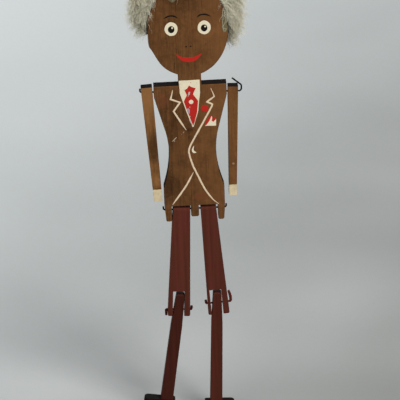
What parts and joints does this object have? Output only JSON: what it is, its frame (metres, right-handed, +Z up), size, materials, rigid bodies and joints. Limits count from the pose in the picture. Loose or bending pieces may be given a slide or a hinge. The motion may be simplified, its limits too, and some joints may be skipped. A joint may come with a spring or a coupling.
{
  "type": "limberjack",
  "caption": "Jointed wooden jig doll: flat head-and-torso board, swinging arms and legs on wire hinges, wool hair, held by a rod in a socket at its back.",
  "frame": {"origin": "mouth of the rod socket in the back face of the body board", "axes": "+Z up along the hanging doll, +Y out of its back along the rod socket, +X towards the doll's own left"},
  "size_m": [0.09, 0.02, 0.3815],
  "materials": {
    "stained_wood": "worn brown stain on a sawn board, edges and back black",
    "arm_wood": "worn brown stain, cream painted hands",
    "leg_paint": "thin oxblood paint on wood",
    "foot_paint": "black paint on wood",
    "black_wire": "blackened iron wire",
    "painted_wire": "iron wire painted over with the legs",
    "brad_steel": "dull steel nail",
    "wool": "grey-white raw sheep's wool"
  },
  "bodies": {
    "torso": {"body_board": "stained_wood", "shoulder_wire": "black_wire", "hip_wire": "black_wire", "right_wool": "wool", "left_wool": "wool", "crown_wool": "wool"},
    "right_arm": {"right_arm": "arm_wood"},
    "left_arm": {"left_arm": "arm_wood"},
    "right_upper_leg": {"right_upper_leg": "leg_paint", "right_knee_wire": "painted_wire"},
    "right_lower_leg": {"right_lower_leg": "leg_paint", "right_foot": "foot_paint", "right_foot_brad": "brad_steel"},
    "left_upper_leg": {"left_upper_leg": "leg_paint", "left_knee_wire": "painted_wire"},
    "left_lower_leg": {"left_lower_leg": "leg_paint", "left_foot": "foot_paint", "left_foot_brad": "brad_steel"}
  },
  "joints": [
    {"name": "right_shoulder", "type": "hinge", "parent": "torso", "child": "right_arm", "pos_m": [-0.0334, -0.00475, 0.04402], "axis": [0.9993, 0, -0.0366], "range_deg": [-160, 160]},
    {"name": "left_shoulder", "type": "hinge", "parent": "torso", "child": "left_arm", "pos_m": [0.033, -0.00475, 0.04159], "axis": [0.9993, 0, -0.0366], "range_deg": [-138, 138]},
    {"name": "right_hip", "type": "hinge", "parent": "torso", "child": "right_upper_leg", "pos_m": [-0.0106, -0.00475, -0.0566], "axis": [1, 0, 0], "range_deg": [-90, 90]},
    {"name": "right_knee", "type": "hinge", "parent": "right_upper_leg", "child": "right_lower_leg", "pos_m": [-0.01597, -0.00475, -0.14444], "axis": [0.9981, 0, -0.061], "range_deg": [-110, 110]},
    {"name": "left_hip", "type": "hinge", "parent": "torso", "child": "left_upper_leg", "pos_m": [0.0106, -0.00475, -0.0566], "axis": [1, 0, 0], "range_deg": [-90, 90]},
    {"name": "left_knee", "type": "hinge", "parent": "left_upper_leg", "child": "left_lower_leg", "pos_m": [0.01534, -0.00475, -0.14007], "axis": [0.9984, 0, 0.0567], "range_deg": [-110, 110]}
  ]
}
